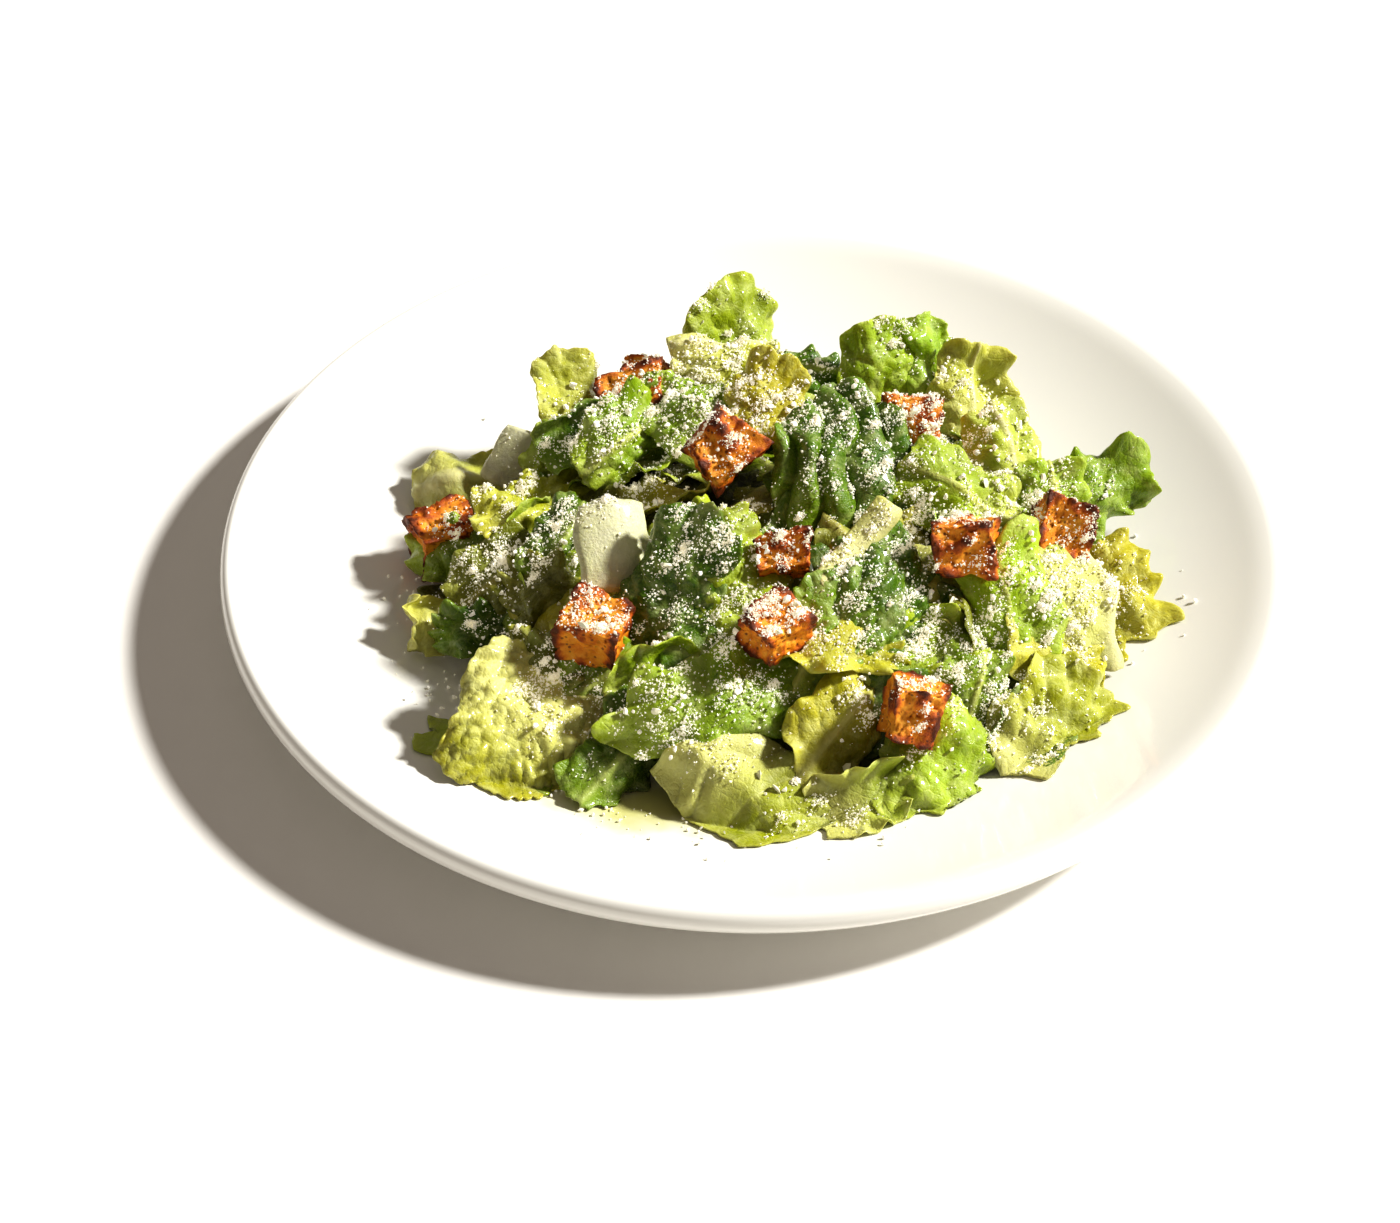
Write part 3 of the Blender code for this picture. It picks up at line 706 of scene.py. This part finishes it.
outerLeaf = leafBlade("romaineOuterBlade", 0.18, 0.3, 0.3)
innerLeaf = leafBlade("romaineInnerBlade", 0.28, 0.32, 0.4)
underLeaf = leafBlade("romaineUnderBlade", 0.32, 0.2, 0.0)
placedLeaves = [namedLeaf(number, row) for number, row in enumerate(shownLeaves)]
outerTones = ("dark", "green", "olive")
leafGroups = {
    "romaineDarkLeaves": (outerLeaf, [leaf for leaf in placedLeaves if leaf["tone"] in outerTones]),
    "romaineHeartLeaves": (innerLeaf, [leaf for leaf in placedLeaves if leaf["tone"] not in outerTones]),
    "romaineUnderLeaves": (outerLeaf, fillerLeaves()),
}
catching = []
for name, (material, leaves) in leafGroups.items():
    points, faces, tones, marks = joinedSolids([leafSolid(leaf) for leaf in leaves])
    leafPiece = meshPiece(name, points, faces, material, tones, marks)
    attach(leafPiece, body)
    catching.append((points, faces))
    print(name, len(leaves), "leaves", 2 * len(faces), "triangles")
core = heapCore(underLeaf)
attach(core, body)
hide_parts("salad_heap")


croutonSettings = {
    "grid": 28, "hollow": 0.16, "corner": 0.16, "uneven": 0.22, "crag": 2.1, "cragSize": 6.0, "pore": 0.9,
    "poreSize": 1.5,
    "cragShift": 0.2, "poreLevels": (0.15, 0.8), "edgeBand": (0.55, 1.0), "edgeBrown": 0.3,
    "cragBrown": 0.55,
    "seedStep": 40.0, "poreSeed": 9.0, "cragOctaves": 5, "poreOctaves": 2, "topGap": 0.2,
}
# Sizes in mm and turns in degrees: spin, tilt towards the front, heading.
croutonShapes = {
    "crouton_left": ((19, 18, 18), (18, 6, 8)),
    "crouton_back_small": ((15, 11, 12), (8, 22, -14)),
    "crouton_back": ((20, 16, 15), (24, 36, -10)),
    "crouton_top": ((19, 18, 15), (43, 48, 6)),
    "crouton_right_upper": ((17, 17, 14), (-10, 52, 8)),
    "crouton_right": ((19, 15, 18), (4, 62, -6)),
    "crouton_far_right": ((18, 19, 14), (-24, 56, 10)),
    "crouton_middle": ((16, 13, 13), (12, 30, -8)),
    "crouton_front_middle": ((17, 16, 16), (38, 14, 8)),
    "crouton_front_left": ((18, 17, 18), (-30, 10, 8)),
    "crouton_front_right": ((17, 18, 16), (-14, 62, 4)),
}


def cubeGrid(cells):
    line = np.linspace(-1, 1, cells + 1)
    u, v = np.meshgrid(line, line, indexing="ij")
    points, faces, offset = [], [], 0
    _, quads = gridQuads(cells + 1, cells + 1)
    for axis in range(3):
        for sign in (-1, 1):
            side = np.empty(u.shape + (3,))
            side[..., axis] = sign
            side[..., (axis + 1) % 3] = u
            side[..., (axis + 2) % 3] = v
            points.append(side.reshape(-1, 3))
            faces.append((quads if sign > 0 else quads[:, ::-1]) + offset)
            offset += u.size
    points, faces = np.concatenate(points), np.concatenate(faces)
    unique, back = np.unique(np.round(points, 6), axis=0, return_inverse=True)
    return unique, back.reshape(-1)[faces]


def unevenCube(name, unit):
    settings = croutonSettings
    squares = 1 - unit ** 2
    others = np.stack([squares[:, (axis + 1) % 3] + squares[:, (axis + 2) % 3] for axis in range(3)], -1)
    blunt = 1 - settings["corner"] * abs(unit.prod(1, keepdims=True)) ** 3
    shaped = unit * blunt * (1 - settings["hollow"] * others / 2)
    dice = random.Random(name)
    for corner in itertools.product((-1, 1), repeat=3):
        shift = [dice.uniform(-settings["uneven"], settings["uneven"]) for axis in range(3)]
        share = (1 + np.array(corner) * unit).prod(1, keepdims=True) / 8
        shaped = shaped + share * np.array(shift)
    return shaped


def noiseField(points, size, seed, octaves):
    return np.array([noise.fractal(Vector(point) / size + Vector((seed, 0, 0)), 1.0, 2.0,
        octaves) for point in points])


def croutonPiece(name, material):
    settings = croutonSettings
    sizes, angles = croutonShapes[name]
    low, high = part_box(name)
    unit, faces = cubeGrid(settings["grid"])
    local = unevenCube(name, unit) * np.array(sizes) / 2
    spin, tilt, heading = (math.radians(angle) for angle in angles)
    turn = Matrix.Rotation(heading, 3, "Z") @ Matrix.Rotation(tilt, 3, "X") @ Matrix.Rotation(spin, 3, "Z")
    turned = local @ np.array(turn).T
    middle = np.array((low + high) / 2) / mm - (turned.max(0) + turned.min(0)) / 2
    seed = settings["seedStep"] * sorted(croutonShapes).index(name)
    outward = local / np.linalg.norm(local, axis=1, keepdims=True)
    crag = noiseField(local, settings["cragSize"], seed, settings["cragOctaves"])
    pore = noiseField(local, settings["poreSize"], seed + settings["poreSeed"], settings["poreOctaves"])
    opened = smoothStep(*settings["poreLevels"], pore)
    raised = settings["crag"] * (crag - settings["cragShift"]) - settings["pore"] * opened
    local = local + outward * raised[:, None]
    nearEdge = smoothStep(*settings["edgeBand"], np.sort(abs(unit), axis=1)[:, 1])
    browning = np.clip(settings["edgeBrown"] * nearEdge * (1 + crag) + settings["cragBrown"] * crag, 0, 1)
    tones = np.stack([browning, opened, 0 * pore, 1 + 0 * pore], -1)
    points = local @ np.array(turn).T + middle
    points[:, 2] = np.minimum(points[:, 2], topMost - settings["topGap"])
    piece = meshPiece(name.replace("crouton", "toastedCube"), points, faces, material, tones, local + seed)
    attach(piece, body)
    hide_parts(name)
    catching.append((points, faces))


# White bread fried in oil: golden crumb browned to caramel on ridges and edges,
# with open pores and herb flecks.
def toastedCrumb():
    material, tree = startMaterial("toastedCrumb")
    tone = addNode(tree, "Attribute", {"attribute_name": "tone"})
    place = addNode(tree, "Attribute", {"attribute_name": "bladeMm"})
    onCrumb = {"Vector": (place, "Vector")}
    parts = addNode(tree, "SeparateColor", {}, {"Color": (tone, "Color")})
    # patches of browning some 5 mm across, broken up into much finer ones
    cloud = addNode(tree, "TexNoise", {"Scale": 0.2, "Detail": 7.0, "Roughness": 0.78}, onCrumb)
    browned = addNode(tree, "Math", {"operation": "MULTIPLY_ADD", 1: 0.95},
        {0: (cloud, "Fac"), 2: (parts, "Red")})
    crust = addNode(tree, "ValToRGB", {"stops": [
        (0.36, toLinear("#f8b43c")), (0.56, toLinear("#e88c14")), (0.74, toLinear("#b8560a")),
        (0.95, toLinear("#5a2203"))]},
        {"Fac": (browned, 0)})
    # painted shade: open pores are darker inside, as shade falls in them
    paintedPoreShade = addNode(tree, "Mix", {"data_type": "RGBA", 7: toLinear("#b05a0c")},
        {0: (parts, "Green"), 6: (crust, 0)})
    # dried herb flecks about 1 mm across
    fleck = addNode(tree, "TexVoronoi", {"Scale": 0.5}, onCrumb)
    fleckMask = addNode(tree, "MapRange", {"From Min": 0.15, "From Max": 0.27, "To Min": 0.75,
        "To Max": 0.0}, {"Value": (fleck, "Distance")})
    flecked = addNode(tree, "Mix", {"data_type": "RGBA", 7: toLinear("#4a1d06")},
        {0: (fleckMask, 0), 6: (paintedPoreShade, 2)})
    crumb = addNode(tree, "TexNoise", {"Scale": 1.2, "Detail": 5.0, "Roughness": 0.7}, onCrumb)
    relief = addNode(tree, "Bump", {"Strength": 0.7, "Distance": 0.0006}, {"Height": (crumb, "Fac")})
    shader = addNode(tree, "BsdfPrincipled", {
        "Roughness": 0.5, "IOR": 1.45, "Subsurface Weight": 0.1, "Subsurface Radius": (1.0, 0.5, 0.2),
        "Subsurface Scale": 0.001},
        {"Base Color": (flecked, 2), "Normal": (relief, 0)})
    addNode(tree, "OutputMaterial", {}, {"Surface": (shader, 0)})
    return material


toast = toastedCrumb()
for name in sorted(croutonShapes):
    croutonPiece(name, toast)
print("croutons browned")


cheeseSettings = {
    "seed": 4, "driftSeed": 14, "pinches": 900, "pinched": 44000, "scattered": 18000, "mostGrains": 49800,
    "flakes": 900,
    "pinchSpread": (0.5, 2.0), "pinchStretch": (1.5, 0.8), "pinchWeights": (0.1, 1.0), "pinchReach": 0.98,
    "pile": 1.3, "castFrom": 2.5, "castReach": 6.0, "strewn": 0.5, "grainSize": (0.32, 0.95),
    "flakeSize": (0.9, 2.0),
    "drift": 30.0, "patch": 8.0, "patchShare": 0.9, "heavyShare": 2.2, "fallLevels": (-0.6, 2.6),
    "triesEach": 5,
}
# Cheese that missed the heap. Headings in radians, distances as shares of the heap's reach.
crumbSettings = {
    "count": 260, "headings": [-2.7, -2.3, -1.9, -3.1, 0.1], "shares": (0.3, 0.25, 0.2, 0.2, 0.05),
    "headingSpread": 0.3,
    "from": 0.98, "spread": 0.08, "insideRim": 136.0, "aboveGlaze": 0.05, "sizes": (0.4, 1.5), "sink": 0.05,
}
dropSettings = {"count": 90, "reach": 0.95, "lean": 0.6, "sizes": (1.4, 3.6), "sink": 0.42,
    "flat": (0.25, 0.5)}
# How bits fall, and the shape of one bit. Lengths in mm.
fallSettings = {"from": 60.0, "above": 2.0, "towardsBack": 0.25, "sideShare": 0.6, "lean": 0.4,
    "flattest": (0.0, 0.65)}
bitSettings = {"rough": (0.6, 1.3), "long": (0.8, 1.4), "wide": (0.7, 1.1), "flat": (0.6, 1.1), "sink": 0.2,
    "topGap": 0.3}
# Where most of the cheese fell: place in mm and reach.
heavyDrifts = [(-35, 12, 11), (-12, 26, 12), (25, 8, 12), (-6, -32, 10), (28, -56, 9), (-30, -76, 9),
    (-52, -70, 9), (0, -72, 9),
               (64, 6, 12), (62, -62, 11), (84, -30, 10), (-74, -22, 11), (40, -30, 9)]
for name in sorted(croutonShapes):
    low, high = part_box(name)
    heavyDrifts.append(((low.x + high.x) / 2 / mm, (low.y + high.y) / 2 / mm, 4))


def catchingTree():
    points, faces, offset = [], [], 0
    for part, quads in catching:
        points.append(part)
        faces.append(np.asarray(quads) + offset)
        offset += len(part)
    return BVHTree.FromPolygons(np.concatenate(points).tolist(), np.concatenate(faces).tolist())


def droppedHits(tree, places, dice, lean=fallSettings["lean"]):
    settings = fallSettings
    hits = []
    for x, y in places:
        aside = dice.normal(0, lean) * settings["sideShare"]
        ahead = settings["towardsBack"] + dice.normal(0, lean)
        slope = Vector((aside, ahead, -1.0)).normalized()
        start = Vector((x, y, float(heapSurface(x, y)) + settings["above"])) - slope * settings["from"]
        place, normal, _, _ = tree.ray_cast(start, slope)
        if place is None or normal.dot(slope) >= 0:
            continue
        # bits slide off steep faces and stay on level ones
        if dice.uniform() < float(smoothStep(*settings["flattest"], normal.z)):
            hits.append((place, normal))
    return hits


def grainShape():
    points = np.array([(1, 1, 1), (1, -1, -1), (-1, 1, -1), (-1, -1, 1)]) / math.sqrt(2)
    return points, np.array([(0, 1, 2), (0, 3, 1), (0, 2, 3), (1, 3, 2)])


def lumpShape():
    golden = (1 + 5 ** 0.5) / 2
    points = np.array([
        (-1, golden, 0), (1, golden, 0), (-1, -golden, 0), (1, -golden, 0), (0, -1, golden),
        (0, 1, golden), (0, -1, -golden), (0, 1, -golden), (golden, 0, -1), (golden, 0, 1),
        (-golden, 0, -1), (-golden, 0, 1)])
    faces = np.array([
        (0, 11, 5), (0, 5, 1), (0, 1, 7), (0, 7, 10), (0, 10, 11), (1, 5, 9), (5, 11, 4), (11, 10, 2),
        (10, 7, 6), (7, 1, 8), (3, 9, 4), (3, 4, 2), (3, 2, 6), (3, 6, 8), (3, 8, 9), (4, 9, 5),
        (2, 4, 11), (6, 2, 10), (8, 6, 7), (9, 8, 1)])
    return points / np.linalg.norm(points[0]), faces


def scatteredBits(name, hits, sizes, shaped, material, dice, strewn=0.0, sink=bitSettings["sink"],
        flat=bitSettings["flat"]):
    shape, faces = shaped
    points, polygons = [], []
    for number, (place, normal) in enumerate(hits):
        size = sizes[0] + (sizes[1] - sizes[0]) * dice.uniform() ** 2
        squash = np.array([
            dice.uniform(*limits) for limits in (bitSettings["long"], bitSettings["wide"], flat)])
        rough = shape * (dice.uniform(*bitSettings["rough"], (len(shape), 1))) * squash * size / 2
        turn = np.array(Quaternion(dice.normal(0, 1, 4)).normalized().to_matrix())
        centre = np.array(place) + np.array(normal) * size * (0.5 - sink)
        centre = centre + np.array((0, 0, 1.0)) * strewn * dice.uniform() ** 2
        points.append(rough @ turn.T + centre)
        polygons.append(faces + number * len(shape))
    points = np.concatenate(points)
    points[:, 2] = np.minimum(points[:, 2], topMost - bitSettings["topGap"])
    piece = meshPiece(name, points, np.concatenate(polygons).tolist(), material)
    piece.data.polygons.foreach_set("use_smooth", np.zeros(len(piece.data.polygons), bool))
    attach(piece, body)
    print(name, len(hits), "bits", len(hits) * len(faces), "triangles")
    return piece


# Aged hard cheese, finely grated: matt near-white grains. Light scattered right through each grain
# lifts its shaded side, and a faint even glow stands for that.
def gratedCheese():
    material, tree = startMaterial("gratedCheese")
    coords = addNode(tree, "TexCoord")
    cloud = addNode(tree, "TexNoise", {"Scale": 260.0, "Detail": 2.0}, {"Vector": (coords, "Object")})
    tint = addNode(tree, "ValToRGB", {"stops": [(0.3, toLinear("#f8f3dc")), (0.7, toLinear("#fffdf4"))]},
        {"Fac": (cloud, "Fac")})
    shader = addNode(tree, "BsdfPrincipled", {
        "Roughness": 0.6, "IOR": 1.45, "Subsurface Weight": 0.4, "Subsurface Radius": (1.0, 0.95, 0.85),
        "Subsurface Scale": 0.001, "Emission Color": toLinear("#fff6dc"), "Emission Strength": 0.13},
        {"Base Color": (tint, 0)})
    addNode(tree, "OutputMaterial", {}, {"Surface": (shader, 0)})
    return material


# Emulsion of oil, egg and cheese: opaque cream with a wet shine.
def creamyDressing():
    material, tree = startMaterial("creamyDressing")
    coords = addNode(tree, "TexCoord")
    lumps = addNode(tree, "TexNoise", {"Scale": 900.0, "Detail": 3.0}, {"Vector": (coords, "Object")})
    relief = addNode(tree, "Bump", {"Strength": 0.4, "Distance": 0.0003}, {"Height": (lumps, "Fac")})
    shader = addNode(tree, "BsdfPrincipled", {
        "Base Color": toLinear("#ecead0"), "Roughness": 0.28, "IOR": 1.42, "Coat Weight": 0.4,
        "Coat Roughness": 0.1},
        {"Normal": (relief, 0)})
    addNode(tree, "OutputMaterial", {}, {"Surface": (shader, 0)})
    return material


def pinchedHits(tree, count, dice):
    # grains pile up in small heaps round where each pinch landed
    settings = cheeseSettings
    pinches = droppedHits(tree, driftedPlaces(settings["pinches"], dice, settings["pinchReach"]), dice)
    weights = dice.uniform(*settings["pinchWeights"], len(pinches)) ** 2
    spreads = dice.uniform(*settings["pinchSpread"], len(pinches))
    hits = []
    for number in dice.choice(len(pinches), count, p=weights / weights.sum()):
        place, normal = pinches[number]
        along = normal.orthogonal().normalized()
        away = dice.normal(0, spreads[number], 2) * settings["pinchStretch"]
        start = place + along * away[0] + normal.cross(along) * away[1] + normal * settings["castFrom"]
        spot, facing, _, _ = tree.ray_cast(start, -normal, settings["castReach"])
        if spot is not None and facing.dot(normal) > 0:
            pile = settings["pile"] * math.exp(-0.5 * (away @ away) / spreads[number] ** 2)
            hits.append((spot + normal * pile * dice.uniform(), facing))
    return hits


def heapPlaces(count, dice, reach):
    turn = dice.uniform(0, 2 * math.pi, count)
    return np.stack(heapPlace(np.sqrt(dice.uniform(0, 1, count)) * reach, turn), -1)


def cheeseFall(x, y):
    # broad drifts the size of a leaf, broken up by small patches, and the heavy ones
    settings = cheeseSettings
    dice = np.random.default_rng(settings["driftSeed"])
    fall = ripple(x, y, settings["drift"], dice) + (
        settings["patchShare"] * ripple(x, y, settings["patch"], dice))
    for across, along, reach in heavyDrifts:
        fall = fall + settings["heavyShare"] * np.exp(
            -0.5 * ((x - across) ** 2 + (y - along) ** 2) / reach ** 2)
    return smoothStep(*settings["fallLevels"], fall)


def driftedPlaces(count, dice, reach=1.03):
    places = heapPlaces(count * cheeseSettings["triesEach"], dice, reach)
    kept = places[dice.uniform(0, 1, len(places)) < cheeseFall(places[:, 0], places[:, 1])]
    return kept[:count]


def fallenCrumbs(dice):
    settings = crumbSettings
    turn = dice.choice(settings["headings"], settings["count"], p=settings["shares"])
    turn = turn + dice.normal(0, settings["headingSpread"], settings["count"])
    away = settings["from"] + abs(dice.normal(0, settings["spread"], settings["count"]))
    crumbs = []
    for x, y in zip(*heapPlace(away, turn)):
        radius = math.hypot(x, y)
        if radius < settings["insideRim"]:
            height = float(wellSurface(radius)) + settings["aboveGlaze"]
            crumbs.append((Vector((x, y, height)), Vector((0, 0, 1))))
    return crumbs


def cheeseAndDressing():
    settings, crumb, drop = cheeseSettings, crumbSettings, dropSettings
    dice = np.random.default_rng(settings["seed"])
    tree = catchingTree()
    cheese = gratedCheese()
    grains = pinchedHits(tree, settings["pinched"], dice)
    grains += droppedHits(tree, driftedPlaces(settings["scattered"], dice), dice)
    grains = grains[:settings["mostGrains"]]
    scatteredBits("cheeseGrains", grains, settings["grainSize"], grainShape(), cheese, dice,
        settings["strewn"])
    flakes = pinchedHits(tree, settings["flakes"], dice)
    scatteredBits("cheeseFlakes", flakes, settings["flakeSize"], lumpShape(), cheese, dice)
    crumbs = fallenCrumbs(dice)
    scatteredBits("cheeseCrumbs", crumbs, crumb["sizes"], lumpShape(), cheese, dice, sink=crumb["sink"])
    drops = droppedHits(tree, heapPlaces(drop["count"], dice, drop["reach"]), dice, drop["lean"])
    scatteredBits("dressingDrops", drops, drop["sizes"], lumpShape(), creamyDressing(), dice,
        sink=drop["sink"], flat=drop["flat"])


cheeseAndDressing()


lookSettings = {
    "floorHex": "#f4f2ee", "keyStrength": 5.5, "keyDirection": 12.0, "keyRise": 38.0, "keyWidth": 7.0,
    "keyHex": "#fffdf8", "fillHex": "#fff1e2", "fillStrength": 0.22, "floorSide": 4000.0,
    "sensorWidth": 36.0, "nearest": 0.01, "cameraAt": (0.0, -0.7148, 0.6261),
    "cameraLook": (-0.0145, -0.0161, 0.0072), "cameraRoll": -0.15, "lens": 85.0,
}


def pourFloor():
    material, tree = startMaterial("paleFloor")
    shader = addNode(tree, "BsdfPrincipled", {
        "Base Color": toLinear(lookSettings["floorHex"]), "Roughness": 0.8})
    addNode(tree, "OutputMaterial", {}, {"Surface": (shader, 0)})
    side = lookSettings["floorSide"]
    corners = [(-side, -side, 0), (side, -side, 0), (side, side, 0), (-side, side, 0)]
    floor = meshPiece("paleFloor", corners, [(0, 1, 2, 3)], material)


def lightAndCamera():
    settings = lookSettings
    # one broad key from the right, with its soft edge set by how wide it is seen from the plate
    key = bpy.data.lights.new("softKey", "SUN")
    key.energy = settings["keyStrength"]
    key.angle = math.radians(settings["keyWidth"])
    key.color = toLinear(settings["keyHex"])[:3]
    lamp = bpy.data.objects.new("softKey", key)
    turn, rise = math.radians(settings["keyDirection"]), math.radians(settings["keyRise"])
    towards = Vector((math.cos(rise) * math.cos(turn), math.cos(rise) * math.sin(turn), math.sin(rise)))
    lamp.rotation_euler = towards.to_track_quat("Z", "Y").to_euler()
    bpy.context.scene.collection.objects.link(lamp)
    world = bpy.data.worlds.new("softFill")
    world.use_nodes = True
    background = world.node_tree.nodes["Background"]
    background.inputs["Color"].default_value = toLinear(settings["fillHex"])
    background.inputs["Strength"].default_value = settings["fillStrength"]
    bpy.context.scene.world = world
    lens = bpy.data.cameras.new("tableCamera")
    lens.lens = settings["lens"]
    lens.sensor_width = settings["sensorWidth"]
    lens.clip_start = settings["nearest"]
    camera = bpy.data.objects.new("tableCamera", lens)
    camera.location = settings["cameraAt"]
    aim = (Vector(settings["cameraLook"]) - camera.location).to_track_quat("-Z", "Y")
    camera.rotation_euler = (aim @ Quaternion((0, 0, 1), math.radians(settings["cameraRoll"]))).to_euler()
    bpy.context.scene.collection.objects.link(camera)
    bpy.context.scene.camera = camera
    bpy.context.scene.view_settings.view_transform = "Standard"
    bpy.context.scene.view_settings.look = "Medium High Contrast"


pourFloor()
lightAndCamera()
print("salad plated")
